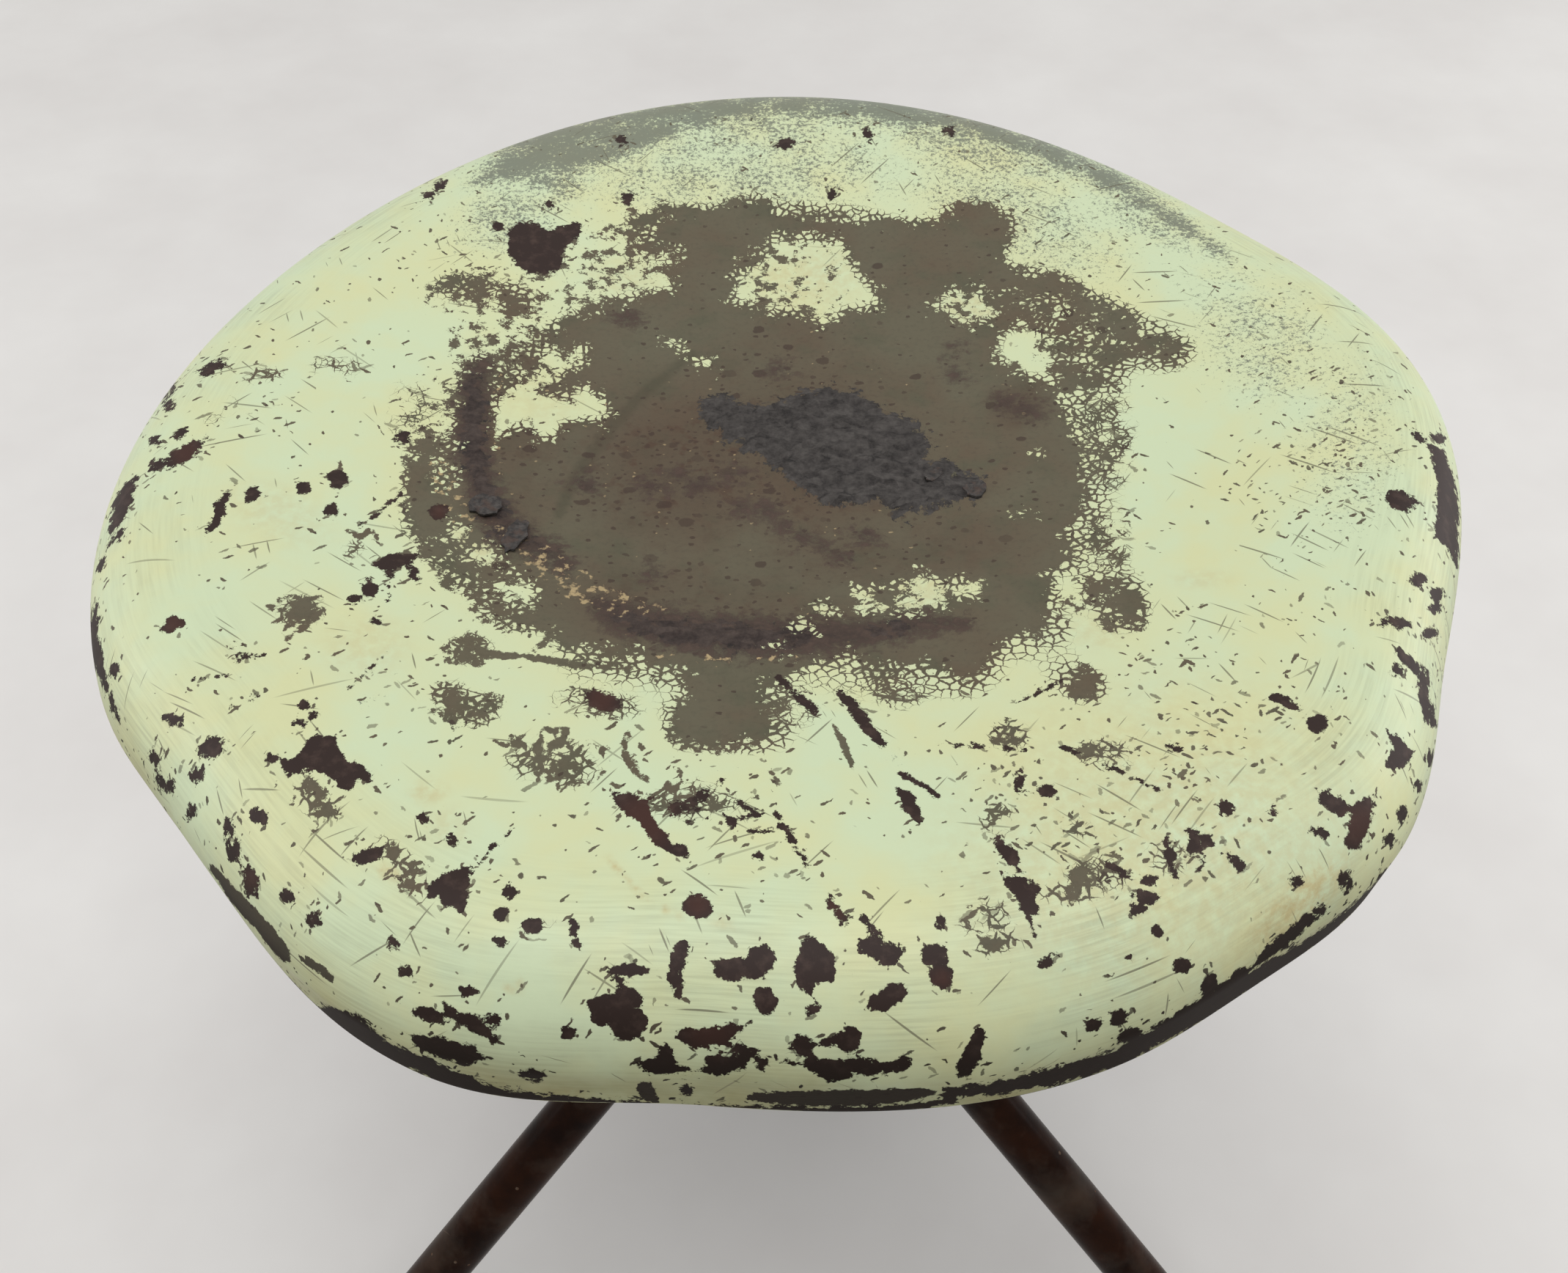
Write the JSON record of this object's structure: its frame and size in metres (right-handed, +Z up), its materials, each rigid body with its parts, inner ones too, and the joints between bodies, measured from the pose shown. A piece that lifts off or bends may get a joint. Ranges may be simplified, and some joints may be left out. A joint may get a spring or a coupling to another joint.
{
  "type": "dentist stool",
  "caption": "Low swivelling clinic stool: pressed, lobed metal seat with worn pale enamel on a clamped lifting post and a splayed tube tripod with rubber feet.",
  "frame": {"origin": "on the floor, on the axis of the post", "axes": "+Z up along the post, -Y towards the front between two legs, +X towards the clamp"},
  "size_m": [0.4722, 0.45, 0.46],
  "materials": {
    "seat_enamel": "worn brushed enamel, chipped to brown and olive primer",
    "brown_paint": "dark brown gloss paint, worn",
    "steel": "dull turned steel",
    "bronze": "dull bronze",
    "brass": "dull brass",
    "rubber": "matt black rubber",
    "knob_plastic": "black phenolic"
  },
  "bodies": {
    "base": {"column": "brown_paint", "column_bush": "bronze", "column_plug": "rubber", "clamp_ring": "brown_paint", "hub": "brown_paint", "hub_screws": "steel", "leg_front_right": "brown_paint", "leg_back": "brown_paint", "leg_front_left": "brown_paint", "leg_screws": "steel", "foot_front_right": "rubber", "foot_back": "rubber", "foot_front_left": "rubber", "foot_washers": "steel"},
    "lift": {"post": "steel", "post_collar": "steel", "lower_race": "steel", "bearing_balls": "steel", "spigot_washer": "steel", "spigot_nut": "steel", "stop_ring": "steel", "stop_pin": "steel"},
    "seat": {"seat_pan": "seat_enamel", "support_ring": "brown_paint", "seat_plate": "brown_paint", "plate_screws": "steel", "swivel_head": "brown_paint", "head_bolts": "steel", "head_washers": "steel", "upper_race": "steel"},
    "pad": {"clamp_pad": "brass"},
    "clamp": {"clamp_screw": "steel"},
    "bar": {"clamp_bar": "steel", "bar_knobs": "knob_plastic"}
  },
  "joints": [
    {"name": "seat_lift", "type": "slide", "parent": "base", "child": "lift", "axis": [0, 0, 1], "range_m": [0, 0.09]},
    {"name": "seat_swivel", "type": "hinge", "parent": "lift", "child": "seat", "pos_m": [0, 0, 0.4073], "axis": [0, 0, 1], "continuous": true},
    {"name": "pad_press", "type": "slide", "parent": "base", "child": "pad", "axis": [1, 0, 0], "range_m": [0, 0.00132]},
    {"name": "clamp_turn", "type": "hinge", "parent": "pad", "child": "clamp", "pos_m": [0.03, 0, 0.34], "axis": [1, 0, 0], "range_deg": [0, 270]},
    {"name": "bar_slide", "type": "slide", "parent": "clamp", "child": "bar", "axis": [0, 1, 0], "range_m": [-0.03, 0.03]}
  ],
  "couplings": [
    {"joint": "pad_press", "follows": "clamp_turn", "m_per_rad": 0.00027852}
  ]
}
